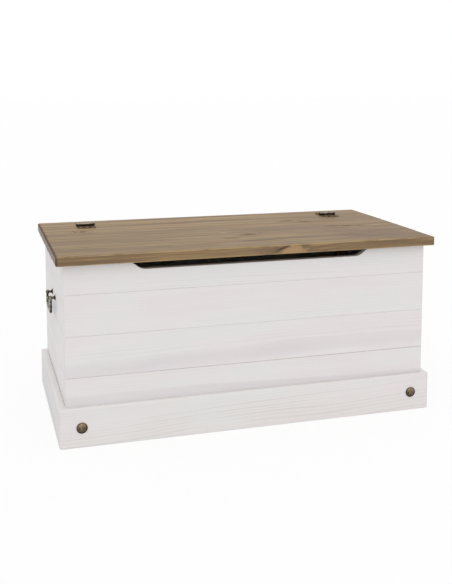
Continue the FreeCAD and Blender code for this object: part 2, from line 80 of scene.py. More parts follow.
def section(corners, rounds, end_rounds, planed):
    """Cross-section of a board, clockwise as (depth behind its face, height), with square corners eased.
    An arc's point is its corner plus the round times (way in (sin f - 1) + way out (1 - cos f)), f over a
    quarter turn; a side blends the arcs at its ends. Rows: corner part, arc part, draw-in at the board's
    ends, planing way, and how far up the bend of a worn arris the point is."""
    corners = np.array(corners, float)
    ways = np.roll(corners, -1, 0) - corners
    lengths = np.linalg.norm(ways, axis=1)
    ways = ways / lengths[:, None]
    outward = np.stack((-ways[:, 1], ways[:, 0]), 1)
    turn = np.linspace(0, np.pi / 2, arc_steps + 1)
    runs = []
    for here in range(len(corners)):
        ahead = (here + 1) % len(corners)
        bend = np.outer(np.sin(turn) - 1, ways[here - 1]) + np.outer(1 - np.cos(turn), ways[here])
        before = np.outer(np.cos(turn), outward[here - 1])
        after = np.outer(np.sin(turn), outward[here])
        on_arris = np.sin(2 * turn) * (rounds[here] >= worn_round)
        runs.append((corners[here] + 0 * bend, rounds[here] * bend,
                     end_rounds[here - 1] * before + end_rounds[here] * after,
                     planed[here - 1] * before + planed[here] * after, on_arris))
        count = int(lengths[here] / section_gap) + 2
        share = (0.5 - 0.5 * np.cos(np.pi * np.arange(1, count) / count))[:, None]
        side = ways[here] * (rounds[here] * (1 - share) - rounds[ahead] * share)
        runs.append((corners[here] * (1 - share) + corners[ahead] * share, side,
                     end_rounds[here] * outward[here] + 0 * side, planed[here] * outward[here] + 0 * side,
                     np.zeros(len(share))))
    return [np.concatenate(part) for part in zip(*runs)]


def planed_board(name, shape, ends, put, pith, lean=0.0, mitres=(0, 0), dip=None, stations=(), **marks):
    """A board: its section carried along the grain from one end to the other.
    Arcs swell and shrink with the wear along each arris, planed faces wander inwards by the planing depth,
    and the ends draw in along a quarter circle. A mitre slides each point along by its depth, and the
    outer corner there is drawn onto a circle in plan. Every point keeps its place in the log that the
    board was sawn from, whose pith may lean along the board, and the marks of the board: radius of the
    heartwood, tone, how thin its wash is, how much painted light its upward faces take, how dark its
    arrises are made along the seams, and the height below which it is painted dark as shade in the gap
    where another board covers it."""
    base, bend, draw, plane, arris = shape
    end_round = max(np.abs(draw).max(), glue_joint)
    quarter = np.linspace(0, np.pi / 2, arc_steps + 1)
    lip = end_round * (1 - np.cos(quarter))
    pull = 1 - np.sin(quarter)
    count = int((ends[1] - ends[0]) / station_gap)
    inner = np.linspace(ends[0] + end_round, ends[1] - end_round, count)[1:-1]
    inner = np.unique(np.concatenate((inner, stations)))
    along = np.concatenate((ends[0] + lip, inner, ends[1] - lip[::-1]))
    pull = np.concatenate((pull, np.zeros(len(inner)), pull[::-1]))
    round_it = np.arange(len(base)) / len(base)
    seed = ends[0] + pith_depth_seed * pith[0] + pith_height_seed * pith[1] + level_seed * base[:, 1].mean()
    wear = wear_least + wear_range * waver(along[:, None], round_it[None], seed)[..., None]
    hollow = planing_depth * waver(along[:, None], planing_turns * round_it[None], seed + 1)[..., None]
    points = base + wear * bend - pull[:, None, None] * draw - hollow * plane
    depth, height = points[..., 0], points[..., 1]
    if dip:
        raised = np.clip((height - height.mean()) / (height.max() - height.mean()), 0, 1)
        height = height - raised * dip(along)[:, None]
    start, stop = ends[0] + mitres[0] * depth, ends[1] - mitres[1] * depth
    share = ((along - ends[0]) / (ends[1] - ends[0]))[:, None]
    grain = start + share * (stop - start)
    for mitre, tip, inward in ((mitres[0], ends[0], 1), (mitres[1], ends[1], -1)):
        from_tip = plinth_corner_round - inward * (grain - tip)
        from_face = plinth_corner_round - depth
        at_corner = (from_tip > 0) & (from_face > 0) & (mitre > 0)
        shrink = np.where(at_corner, from_face / np.hypot(from_tip, np.maximum(from_face, glue_joint)), 1)
        grain = tip + inward * (plinth_corner_round - from_tip * shrink)
        depth = plinth_corner_round - from_face * shrink
    piece = skin(name, np.stack(np.broadcast_arrays(*put(grain, depth, height)), -1))
    log = np.stack((grain, depth - pith[0], height - pith[1] - lean * grain), -1)
    keep(piece, "log", "FLOAT_VECTOR", log)
    keep(piece, "arris", "FLOAT", arris + 0 * depth)
    to_end = np.minimum(along - ends[0], ends[1] - along)
    at_lip = np.clip(1 - to_end / lip_reach, 0, 1) * (pull < 1) * (end_round > worn_round)
    keep(piece, "lip", "FLOAT", at_lip[:, None] + 0 * depth)
    for mark, value in (plain_marks | marks).items():
        keep(piece, mark, "FLOAT", value + 0 * depth)
    return piece


def skin(name, points):
    """Closed mesh over a grid of rings: four-sided faces between neighbours, and each end ring filled
    across. Faces are turned round if the volume under them comes out negative."""
    rings, around = points.shape[:2]
    ring, step = np.meshgrid(np.arange(rings - 1), np.arange(around), indexing="ij")
    after = (step + 1) % around
    here, above = ring * around, (ring + 1) * around
    faces = np.stack((here + step, here + after, above + after, above + step), -1).reshape(-1, 4)
    caps = [np.arange(around)[::-1], np.arange(around) + (rings - 1) * around]
    flat = points.reshape(-1, 3)
    middle = flat.mean(0)
    a, b, c, d = (flat[faces[:, corner]] - middle for corner in range(4))
    if np.einsum("ij,ij->", a, np.cross(b, c) + np.cross(c, d)) < 0:
        faces = faces[:, ::-1]
        caps = [cap[::-1] for cap in caps]
    mesh = bpy.data.meshes.new(name)
    mesh.from_pydata(flat.tolist(), [], faces.tolist() + [cap.tolist() for cap in caps])
    mesh.shade_smooth()
    mesh.set_sharp_from_angle(angle=sharp_angle)
    piece = bpy.data.objects.new(name, mesh)
    bpy.context.scene.collection.objects.link(piece)
    return piece


def keep(piece, name, kind, values):
    """Stores a value for each point of a piece, for its material to read."""
    field = "vector" if kind == "FLOAT_VECTOR" else "value"
    values = np.ascontiguousarray(values, np.float32).ravel()
    piece.data.attributes.new(name, kind, "POINT").data.foreach_set(field, values)


def faced(side, surface):
    """Where a board that faces that side of the trunk puts a point (along the grain, depth, height)."""
    return {
        "front": lambda along, depth, height: (along, surface + depth, height),
        "back": lambda along, depth, height: (along, surface - depth, height),
        "left": lambda along, depth, height: (surface + depth, along, height),
        "right": lambda along, depth, height: (surface - depth, along, height),
        "top": lambda along, depth, height: (along, height, surface - depth),
    }[side]


def plumb(tree, kind, wires=(), **settings):
    """Adds a shader node: settings are its options, wires are (socket, number or another node's output)."""
    made = tree.nodes.new("ShaderNode" + kind)
    for option, choice in settings.items():
        setattr(made, option, choice)
    for socket, value in wires:
        if isinstance(value, bpy.types.NodeSocket):
            tree.links.new(value, made.inputs[socket])
        else:
            made.inputs[socket].default_value = value
    return made.outputs


def reckon(tree, operation, first, second=0.0, third=0.0):
    """One sum with up to three numbers."""
    return plumb(tree, "Math", ((0, first), (1, second), (2, third)), operation=operation)[0]


def times(tree, first, second):
    """The product of two numbers."""
    return reckon(tree, "MULTIPLY", first, second)


def along_axes(tree, operation, first, second=(0, 0, 0)):
    """One sum with vectors, axis by axis, or a vector's length."""
    made = plumb(tree, "VectorMath", ((0, first), (1, second)), operation=operation)
    return made["Value"] if operation == "LENGTH" else made["Vector"]


def parts(tree, vector):
    """The X, Y and Z of a vector."""
    return plumb(tree, "SeparateXYZ", ((0, vector),))


def rise(tree, value, low, high, share=None):
    """Goes smoothly from 0 at the low value to 1 at the high one, times a share where one is given; high
    below low turns it round."""
    wires = (("Value", value), ("From Min", low), ("From Max", high))
    risen = plumb(tree, "MapRange", wires, interpolation_type="SMOOTHSTEP")[0]
    return risen if share is None else times(tree, risen, share)


def stain(tree, share, under, over):
    """One colour laid over another by a share."""
    return plumb(tree, "Mix", ((0, share), (6, under), (7, over)), data_type="RGBA")[2]


def cloud(tree, place, spread, detail):
    """Noise around a half, stretched by how many times it repeats in a metre along each axis."""
    wires = (("Vector", along_axes(tree, "MULTIPLY", place, spread)), ("Scale", 1.0), ("Detail", detail))
    return plumb(tree, "TexNoise", wires)


def own(tree, name):
    """A value that the piece keeps at its points."""
    return plumb(tree, "Attribute", attribute_name=name)


def toned(tree, colour):
    """A colour with its brightness times the board's own tone."""
    return plumb(tree, "HueSaturation", (("Value", own(tree, "tone")["Fac"]), ("Color", colour)))[0]


# From here on a cloud is (repeats in a metre along the grain and across it, detail), and a span is the
# values at which something starts to show and shows fully, with its share where that isn't 1.

pith_cloud = ((1.6, 7.0, 7.0), 2.0)
pith_wander = (0.0, 0.034, 0.034)
cloud_middle = 0.5
across_grain = (0.0, 1.0, 1.0)
ring_cloud = ((9.0, 150.0, 150.0), 2.0)
ring_wander = 0.0022
late_start = (0.35, 0.9)
late_stop = (1.0, 0.93)
late_range = 0.75
late_least = 0.25
fibre_cloud = ((7.0, 620.0, 620.0), 3.0)


def pine_figure(tree, log, ring_width, swell=0.0):
    """Distance from the pith, late bands and fibres of pine at a place in the log. Rings are whole steps of
    that distance, which wanders along the log, and each ring ends in a thin late band, stronger in some
    years. Swell pushes rings apart, as knots do."""
    wander = along_axes(tree, "SUBTRACT", cloud(tree, log, *pith_cloud)["Color"], (cloud_middle,) * 3)
    moved = along_axes(tree, "ADD", log, along_axes(tree, "MULTIPLY", wander, pith_wander))
    radius = along_axes(tree, "LENGTH", along_axes(tree, "MULTIPLY", moved, across_grain))
    ripple = reckon(tree, "SUBTRACT", cloud(tree, log, *ring_cloud)[0], cloud_middle)
    ripple = reckon(tree, "MULTIPLY_ADD", ripple, ring_wander, swell)
    ring = reckon(tree, "DIVIDE", reckon(tree, "ADD", radius, ripple), ring_width)
    through = reckon(tree, "FRACT", ring)
    late = times(tree, rise(tree, through, *late_start), rise(tree, through, *late_stop))
    number = reckon(tree, "FLOOR", ring)
    year = plumb(tree, "TexWhiteNoise", (("W", number),), noise_dimensions="1D")["Value"]
    late = times(tree, late, reckon(tree, "MULTIPLY_ADD", year, late_range, late_least))
    return radius, late, cloud(tree, log, *fibre_cloud)[0]


def new_finish(name):
    """A new material, with its node tree and its shader."""
    material = bpy.data.materials.new(name)
    material.use_nodes = True
    tree = material.node_tree
    return material, tree, tree.nodes["Principled BSDF"]


def finish_off(tree, shader, colour, roughness, height, strength, depth):
    """Wires up a shader's colour, its roughness, and a relief of that height, strength and depth."""
    bump = plumb(tree, "Bump", (("Height", height), ("Strength", strength), ("Distance", depth)))[0]
    for value, socket in ((colour, "Base Color"), (roughness, "Roughness"), (bump, "Normal")):
        tree.links.new(value, shader.inputs[socket])


wash_colour = (0.742, 0.738, 0.726, 1)
wash_rosy = (0.750, 0.720, 0.712, 1)
wash_late = (0.655, 0.615, 0.603, 1)
wash_heart = (0.652, 0.614, 0.634, 1)
wash_rubbed = (0.70, 0.622, 0.53, 1)
# Painted light: a lighter wash colour laid on faces that look up.
wash_pooled = (0.88, 0.86, 0.84, 1)
# Painted shade: near-black laid in the gap just above the plinth's top.
wash_gap_shade = (0.13, 0.10, 0.075, 1)
# Darker colour laid along the arrises at the plank seams.
wash_seam_dark = (0.36, 0.33, 0.32, 1)
wash_ring = 0.0056
blotch_cloud = ((3.0, 22.0, 22.0), 2.0)
drift_cloud = ((2.2, 5.0, 5.0), 2.0)
rosy_cloud = ((3.6, 11.0, 11.0), 2.0)
scuff_cloud = ((26.0, 90.0, 90.0), 4.0)
rosy_span = (0.36, 0.62)
blotch_span = (0.3, 0.7)
heart_edge_span = (-0.0015, 0.004)
heart_drift_span = (0.15, 0.5)
heart_share = 0.58
fine_span = (0.55, 0.75, 0.22)
scuff_span = (0.42, 0.66)
scuff_share = 0.25
painted_top_light_span = (0.2, 0.9)
seam_dark_span = (0.2, 0.6)
gap_shade_span = (-0.0006, 0.0002)
wash_rough_range = 0.2
wash_rough_least = 0.48
wash_gloss = 0.3
wash_ridge = 0.5
wash_relief = (0.35, 0.00025)


def washed_pine_finish():
    """Thin white wash on pine: late bands and heartwood show through, it is rubbed a little along the
    arrises and darker along them at the seams, faces that look up have painted light on them, and it is
    painted dark as shade in the gap just above where another board covers the wood."""
    material, tree, shader = new_finish("whitewashed_pine_finish")
    coordinates = plumb(tree, "TexCoord")
    log = own(tree, "log")["Vector"]
    arris = own(tree, "arris")["Fac"]
    radius, late, fibre = pine_figure(tree, log, wash_ring)
    blotch = cloud(tree, log, *blotch_cloud)[0]
    drift = cloud(tree, log, *drift_cloud)[0]
    colour = stain(tree, rise(tree, cloud(tree, log, *rosy_cloud)[0], *rosy_span), wash_colour, wash_rosy)
    show = times(tree, late, rise(tree, blotch, *blotch_span))
    colour = stain(tree, times(tree, show, own(tree, "thin")["Fac"]), colour, wash_late)
    heart_edge = reckon(tree, "SUBTRACT", own(tree, "heart")["Fac"], radius)
    heart = times(tree, rise(tree, heart_edge, *heart_edge_span), rise(tree, drift, *heart_drift_span))
    colour = stain(tree, times(tree, heart, heart_share), colour, wash_heart)
    colour = stain(tree, rise(tree, fibre, *fine_span), colour, wash_late)
    arris_mark = times(tree, arris, rise(tree, cloud(tree, log, *scuff_cloud)[0], *scuff_span))
    colour = stain(tree, times(tree, arris_mark, scuff_share), colour, wash_rubbed)
    up = parts(tree, coordinates["Normal"])["Z"]
    # Painted light: faces that look up are made lighter, by the board's share.
    colour = stain(tree, rise(tree, up, *painted_top_light_span, own(tree, "pooled")["Fac"]), colour, wash_pooled)
    # Darker along the arrises at the plank seams, by each plank's share.
    seam_dark = rise(tree, drift, *seam_dark_span, own(tree, "grimy")["Fac"])
    colour = stain(tree, times(tree, arris, seam_dark), colour, wash_seam_dark)
    # Painted shade: dark below a height just above the plinth's top, for the shadow in the gap between wall
    # and plinth.
    under = reckon(tree, "SUBTRACT", own(tree, "sunk")["Fac"], parts(tree, coordinates["Object"])["Z"])
    colour = stain(tree, rise(tree, under, *gap_shade_span), colour, wash_gap_shade)
    roughness = reckon(tree, "MULTIPLY_ADD", blotch, wash_rough_range, wash_rough_least)
    height = reckon(tree, "MULTIPLY_ADD", late, wash_ridge, fibre)
    finish_off(tree, shader, toned(tree, colour), roughness, height, *wash_relief)
    shader.inputs["Specular IOR Level"].default_value = wash_gloss
    return material


washed_pine = washed_pine_finish()


def stands_for(piece, node, body, material):
    """The piece takes the node's place on its body, with its finish."""
    piece.data.materials.append(material)
    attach(piece, body)
    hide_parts(node)


front_low, front_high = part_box("plinth_front")
back_low, back_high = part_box("plinth_back")
plinth_thick = front_high.y - front_low.y


def plinth_section(height, foot_round, top_round, wall_round):
    """A plinth board's section from its foot: an oblong, eased at its foot and top and beside the wall."""
    corners = [(0, 0), (0, height), (plinth_thick, height), (plinth_thick, 0)]
    rounds = [foot_round, top_round, wall_round, plain_arris]
    return section(corners, rounds, [0, 0, 0, 0], [1, 1, 0, 0])


eased = plinth_section(front_high.z, plinth_foot_round, plinth_top_round, plinth_wall_round)
plain = plinth_section(back_high.z, plain_arris, plain_arris, plain_arris)
plinth_wide = (front_low.x, front_high.x)
plinth_deep = (front_low.y, back_high.y)
back_wide = (back_low.x, back_high.x)
corner_stations = np.linspace(0, 2 * plinth_corner_round, 2 * arc_steps + 1)[1:-1]
front_stations = np.concatenate((front_low.x + corner_stations, front_high.x - corner_stations))
side_stations = front_low.y + corner_stations
plinth_thin = 0.95
# Section, ends, face, pith, lean of the pith, mitres, stations, tone, and how much painted light the upward
# faces take
plinth_boards = {
    "front": (eased, plinth_wide, front_low.y, (0.06, -0.03), 0.04, (1, 1), front_stations, 1.0, 0.3),
    "left": (eased, plinth_deep, front_low.x, (0.07, 0.075), 0.0, (1, 0), side_stations, 0.95, 0.8),
    "right": (eased, plinth_deep, front_high.x, (0.06, 0.03), 0.0, (1, 0), side_stations, 0.98, 0.8),
    "back": (plain, back_wide, back_high.y, (0.05, 0.01), 0.0, (0, 0), (), 0.97, 0.3),
}
for side, (shape, ends, face, pith, lean, mitres, stations, tone, pooled) in plinth_boards.items():
    board = planed_board("washed_plinth_" + side, shape, ends, faced(side, face), pith, lean, mitres,
                         stations=stations, tone=tone, thin=plinth_thin, pooled=pooled)
    stands_for(board, "plinth_" + side, "carcass", washed_pine)

# Walls. Each is four tongue-and-groove pine planks laid on edge and glued to corner posts; the front and
# back planks run over the ends of the side ones. The top front plank has a long finger slot, and the
# lowest sits on the plinth board. They have the same thin white wash.

plank_thick = 0.016
plank_ease = 0.001
upright_round = 0.0025
tongue = 0.006
tongue_gap = 0.0002
lap = 0.008
slot_half = 0.2905
slot_deep = 0.0193
slot_run = 0.0247
slot_foot_round = 0.032
slot_bend_start = 0.014
slot_bend_stop = 0.003
slot_bend_steps = 30
# How far above the plinth's top the painted shade of the gap reaches
gap_shade_rise = 0.0008
wall_low, wall_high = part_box("front_plank_1")
wall_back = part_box("back_plank_1")[1].y
side_low, side_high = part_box("left_plank_1")
plank_feet = [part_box("front_plank_" + str(number))[0].z for number in (1, 2, 3)]
plank_feet.append(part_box("back_plank_4")[0].z)
lowest = len(plank_feet)
plinth_top = front_high.z


def plank_section(number, end_round, rebated):
    """A plank's section from its foot: tongue on the upper edge, groove under the lower one. The rebated
    lowest plank sits on the plinth board and laps down behind it."""
    foot = plank_feet[number - 1]
    top = plank_feet[number - 2] if number > 1 else wall_high.z
    near, far = (plank_thick - tongue) / 2, (plank_thick + tongue) / 2
    face_foot, foot_round, top_round = foot, glue_joint, plain_arris
    over, under = [], []
    if number > 1:
        over = [(near, top), (near, top + tongue), (far, top + tongue), (far, top)]
        top_round = plank_ease
    if number < lowest:
        roof = foot + tongue + tongue_gap
        under = [(far + tongue_gap, foot), (far + tongue_gap, roof)]
        under += [(near - tongue_gap, roof), (near - tongue_gap, foot)]
        foot_round = plank_ease
    elif rebated:
        under = [(lap, foot), (lap, plinth_top)]
        face_foot = plinth_top
    corners = [(0, face_foot), (0, top)] + over + [(plank_thick, top), (plank_thick, foot)] + under
    rounds = [foot_round, top_round] + [glue_joint] * (len(corners) - 2)
    hidden = [0] * (len(corners) - 1)
    return section(corners, rounds, [end_round] + hidden, [1] + hidden)


def finger_slot(along):
    """Depth of the slot at a place along the plank: a sloping end, rounded into the flat floor by an arc
    that touches both, so the depth is the slope's outside the arc's upper touching point, the arc's within
    it, and the floor's from the lower one on."""
    out = np.abs(along)
    slope = np.arctan2(slot_deep, slot_run)
    reach = slot_foot_round * np.tan(slope / 2)
    foot = slot_half - slot_run
    from_centre = np.clip(out - (foot - reach), 0, slot_foot_round * np.sin(slope))
    arc = slot_deep - slot_foot_round + np.sqrt(slot_foot_round ** 2 - from_centre ** 2)
    slant = (slot_half - out) * slot_deep / slot_run
    return np.clip(np.where(out < foot + reach * np.cos(slope), arc, slant), 0, slot_deep)


slot_bend = np.linspace(slot_half - slot_run - slot_bend_start, slot_half + slot_bend_stop, slot_bend_steps)
slot_stations = np.concatenate((-slot_bend, slot_bend))
plank_piths = {
    "front": [(0.06, 0.27), (0.05, 0.13), (0.040, 0.180), (0.020, 0.070)],
    "back": [(0.06, 0.40), (0.09, 0.24), (0.05, 0.20), (0.10, 0.11)],
    "left": [(0.07, 0.35), (0.06, 0.33), (0.09, 0.18), (0.05, 0.14)],
    "right": [(0.05, 0.41), (0.10, 0.28), (0.04, 0.23), (0.08, 0.10)],
}
plank_leans = {("front", 3): 0.026, ("front", 4): -0.011}
heart_radius = {("front", 3): 0.0435, ("front", 4): 0.044, ("back", 2): 0.1, ("right", 3): 0.05}
# Share of darkening along the seam arrises of each plank, from the top down
seam_darkening_shares = {"front": (0.12, 0.12, 0.12, 0.9), "back": (0.4,) * 4, "left": (0.2,) * 4, "right": (0.2,) * 4}
wall_wide = (wall_low.x, wall_high.x)
wall_deep = (side_low.y, side_high.y)
# Ends, round of the upright edges, whether the lowest plank is rebated, and where points go
walls = {
    "front": (wall_wide, upright_round, True, faced("front", wall_low.y)),
    "back": (wall_wide, upright_round, False, faced("back", wall_back)),
    "left": (wall_deep, 0, False, faced("left", wall_low.x)),
    "right": (wall_deep, 0, False, faced("right", wall_high.x)),
}
for side, (ends, end_round, rebated, put) in walls.items():
    for number, pith in enumerate(plank_piths[side], 1):
        node = "{}_plank_{}".format(side, number)
        slotted = side == "front" and number == 1
        covered = side in ("left", "right") and number == lowest
        board = planed_board(
            "washed_" + node, plank_section(number, end_round, rebated), ends, put, pith,
            lean=plank_leans.get((side, number), 0.0), dip=finger_slot if slotted else None,
            stations=slot_stations if slotted else (), heart=heart_radius.get((side, number), 0.0),
            sunk=plinth_top + gap_shade_rise if covered else plain_marks["sunk"],
            grimy=seam_darkening_shares[side][number - 1])
        stands_for(board, node, "carcass", washed_pine)

# Inner frame. Corner posts, the blocks that they stand on and the cleats under the bottom and the rear rail
# are sawn pine, glued and screwed in and left bare.

raw_early = (0.64, 0.475, 0.30, 1)
raw_late = (0.44, 0.27, 0.135, 1)
raw_ring = 0.0042
raw_late_share = 0.8
fleck_span = (0.52, 0.72, 0.3)
raw_rough_range = 0.2
raw_rough_least = 0.6
raw_gloss = 0.25
raw_ridge = 0.4
raw_relief = (0.5, 0.0004)
grain_ways = {"x": (0, 1, 2), "y": (1, 0, 2), "z": (2, 0, 1)}


def bare_pine_finish(way):
    """Sawn pine without a finish, its grain along one axis of the trunk: late bands and dark flecks."""
    material, tree, shader = new_finish("bare_pine_finish_" + way)
    place = parts(tree, plumb(tree, "TexCoord")["Object"])
    log = plumb(tree, "CombineXYZ", [(slot, place[axis]) for slot, axis in enumerate(grain_ways[way])])[0]
    late, fibre = pine_figure(tree, log, raw_ring)[1:]
    colour = stain(tree, times(tree, late, raw_late_share), raw_early, raw_late)
    colour = stain(tree, rise(tree, fibre, *fleck_span), colour, raw_late)
    roughness = reckon(tree, "MULTIPLY_ADD", fibre, raw_rough_range, raw_rough_least)
    height = reckon(tree, "MULTIPLY_ADD", late, raw_ridge, fibre)
    finish_off(tree, shader, colour, roughness, height, *raw_relief)
    shader.inputs["Specular IOR Level"].default_value = raw_gloss
    return material


def coat(node, material):
    """Puts a finish on a solid that is shown as it is."""
    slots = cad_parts[node].data.materials
    slots.clear()
    slots.append(material)


trunk_corners = [depth + "_" + side for depth in ("front", "back") for side in ("left", "right")]
bare_pieces = {
    "z": [kind + corner for kind in ("post_", "block_") for corner in trunk_corners],
    "x": ["cleat_front", "cleat_back", "rail_cleat"],
    "y": ["cleat_left", "cleat_right"],
}
for way, nodes in bare_pieces.items():
    bare_pine = bare_pine_finish(way)
    for node in nodes:
        coat(node, bare_pine)

# Bottom. A sheet of thin plywood lies on the cleats, notched round the posts and screwed down along the
# front and back; its pale face veneer has long open grain.

ply_pale = (0.66, 0.52, 0.36, 1)
ply_dark = (0.52, 0.37, 0.22, 1)
ply_edge = (0.36, 0.24, 0.14, 1)
ply_layer = 0.0018
veneer_cloud = ((2.2, 26.0, 26.0), 4.0)
open_grain_cloud = ((12.0, 420.0, 420.0), 3.0)
veneer_span = (0.42, 0.62)
open_grain_span = (0.52, 0.75, 0.35)
layer_span = (0.45, 0.55)
ply_edge_span = (0.7, 0.3)
ply_rough_range = 0.25
ply_rough_least = 0.5
ply_relief = (0.3, 0.0002)


def plywood_finish():
    """Rotary-cut veneer: broad wavering figure on the faces, and dark and pale layers on the edges, which
    are the height folded back and forth over one layer."""
    material, tree, shader = new_finish("plywood_finish")
    coordinates = plumb(tree, "TexCoord")
    place = coordinates["Object"]
    grain = cloud(tree, place, *open_grain_cloud)[0]
    colour = stain(tree, rise(tree, cloud(tree, place, *veneer_cloud)[0], *veneer_span), ply_pale, ply_dark)
    colour = stain(tree, rise(tree, grain, *open_grain_span), colour, ply_dark)
    layer = reckon(tree, "PINGPONG", parts(tree, place)["Z"], ply_layer)
    dark_layer = rise(tree, reckon(tree, "DIVIDE", layer, ply_layer), *layer_span)
    upright = reckon(tree, "ABSOLUTE", parts(tree, coordinates["Normal"])["Z"])
    colour = stain(tree, rise(tree, upright, *ply_edge_span, dark_layer), colour, ply_edge)
    roughness = reckon(tree, "MULTIPLY_ADD", grain, ply_rough_range, ply_rough_least)
    finish_off(tree, shader, colour, roughness, grain, *ply_relief)
    return material


coat("bottom_panel", plywood_finish())

# Wood screws. Countersunk steel screws with a dull zinc plating hold the blocks, the bottom, the rail and
# the lid battens; the nuts of the handle stems inside the walls are plated the same way.

zinc_bright = (0.58, 0.58, 0.56, 1)
zinc_dull = (0.36, 0.36, 0.35, 1)
bloom_cloud = ((260.0, 260.0, 260.0), 3.0)
scratch_cloud = ((2600.0, 2600.0, 300.0), 2.0)
bloom_span = (0.35, 0.65)
zinc_rough_range = 0.3
zinc_rough_least = 0.25
zinc_relief = (0.2, 0.00005)


def zinc_finish():
    """Cloudy plating with fine turned scratches."""
    material, tree, shader = new_finish("zinc_steel_finish")
    place = plumb(tree, "TexCoord")["Object"]
    bloom = cloud(tree, place, *bloom_cloud)[0]
    colour = stain(tree, rise(tree, bloom, *bloom_span), zinc_bright, zinc_dull)
    roughness = reckon(tree, "MULTIPLY_ADD", bloom, zinc_rough_range, zinc_rough_least)
    finish_off(tree, shader, colour, roughness, cloud(tree, place, *scratch_cloud)[0], *zinc_relief)
    shader.inputs["Metallic"].default_value = 1.0
    return material


zinc_steel = zinc_finish()
for node in ("carcass_screws", "batten_screws", "handle_nuts"):
    coat(node, zinc_steel)

# Studs. A pair of domed brass studs with a thin rim, aged to a dull bronze, is driven through the plinth
# front board into the corner blocks.

patina_cloud = ((210.0, 210.0, 210.0), 4.0)
pit_cloud = ((1500.0, 1500.0, 1500.0), 2.0)
brass_rough_range = -0.16
brass_rough_most = 0.46
brass_relief = (0.25, 0.0001)


def aged_brass_finish(name, dark, rubbed_and_reflecting, top_reflection, wear_and_reflection_span, placed_shine=None, rim=(1, 1, 1, 1)):
    """Cast brass toned dark and rubbed back: bright where cloudy patina has worn off, and brighter where
    the metal faces up, a painted reflection of a bright sky; dark in between and where the share of shine
    given by the place is low, with a faintly pitted skin."""
    material, tree, shader = new_finish(name)
    coordinates = plumb(tree, "TexCoord")
    place = coordinates["Object"]
    up = reckon(tree, "MAXIMUM", parts(tree, coordinates["Normal"])["Z"], 0.0)
    # Painted reflection: faces that look up are made brighter, as if they mirrored a bright sky.
    wear_and_reflection = reckon(tree, "MULTIPLY_ADD", up, top_reflection, cloud(tree, place, *patina_cloud)[0])
    shine = rise(tree, wear_and_reflection, *wear_and_reflection_span)
    if placed_shine:
        shine = placed_shine(tree, place, shine)
    roughness = reckon(tree, "MULTIPLY_ADD", shine, brass_rough_range, brass_rough_most)
    pits = cloud(tree, place, *pit_cloud)[0]
    finish_off(tree, shader, stain(tree, shine, dark, rubbed_and_reflecting), roughness, pits, *brass_relief)
    shader.inputs["Metallic"].default_value = 1.0
    shader.inputs["Specular Tint"].default_value = rim
    return material


stud_dark = (0.050, 0.042, 0.035, 1)
stud_rubbed_and_reflecting = (0.245, 0.178, 0.112, 1)
# Upward faces of the studs are painted brighter, as a reflection of a bright sky.
stud_top_reflection = 0.4
stud_wear_and_reflection_span = (0.3, 0.72)
stud_low, stud_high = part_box("plinth_studs")
stud_radius = (stud_high.z - stud_low.z) / 2
# The painted highlight is centred a quarter of the radius above the middle of the stud.
bright_level = 1.25 * stud_radius
dark_reach = 1.2 * stud_radius
bright_reach = 0.5 * stud_radius
stud_centre = (stud_high.x - stud_radius, 0, stud_low.z + bright_level)
along_face = (1, 0, 1)


def stud_face(tree, place, shine):
    """All of the shine on the upper middle of a stud's dome, where it is partly worn metal and partly a
    painted highlight, and least at its lower rim, where dark patina stays and shade is painted. It goes by
    the distance along the face from a centre that is folded over to both studs."""
    folded = along_axes(tree, "SUBTRACT", along_axes(tree, "ABSOLUTE", place), stud_centre)
    away = along_axes(tree, "LENGTH", along_axes(tree, "MULTIPLY", folded, along_face))
    return rise(tree, away, dark_reach, bright_reach, shine)


stud_brass = aged_brass_finish("stud_brass_finish", stud_dark, stud_rubbed_and_reflecting, stud_top_reflection, stud_wear_and_reflection_span,
                               stud_face)
coat("plinth_studs", stud_brass)

# Drop handles. Each end has two turned brass posts, bolted through the wall, whose ball eyes carry the pins
# of a hanging bail bent from round rod.

post_dark = (0.026, 0.021, 0.016, 1)
post_rubbed_and_reflecting = (0.36, 0.31, 0.235, 1)
# Upward faces of the posts are painted brighter, as a reflection of a bright sky.
post_top_reflection = 0.25
post_wear_and_reflection_span = (0.48, 0.8)
bail_dark = (0.055, 0.047, 0.040, 1)
bail_rubbed_and_reflecting = (0.42, 0.375, 0.31, 1)
# Upward faces of the bails are painted brighter, as a reflection of a bright sky.
bail_top_reflection = 0.2
bail_wear_and_reflection_span = (0.38, 0.74)
post_brass = aged_brass_finish("post_brass_finish", post_dark, post_rubbed_and_reflecting, post_top_reflection, post_wear_and_reflection_span)
bail_brass = aged_brass_finish("bail_brass_finish", bail_dark, bail_rubbed_and_reflecting, bail_top_reflection, bail_wear_and_reflection_span)
for side in ("left", "right"):
    coat("handle_posts_" + side, post_brass)
    coat("bail_" + side, bail_brass)

# Rear rail. A pine board, waxed brown like the lid, is screwed to its cleat along the back of the top and
# carries the hinges.

lid_edge_round = 0.003
lid_corner_round = 0.005
seam_round = 0.0008
wax_early = (0.330, 0.208, 0.080, 1)
wax_late = (0.088, 0.046, 0.014, 1)
wax_deep = (0.040, 0.020, 0.008, 1)
wax_ruddy_and_shade = (0.150, 0.078, 0.034, 1)
wax_olive = (0.235, 0.165, 0.075, 1)
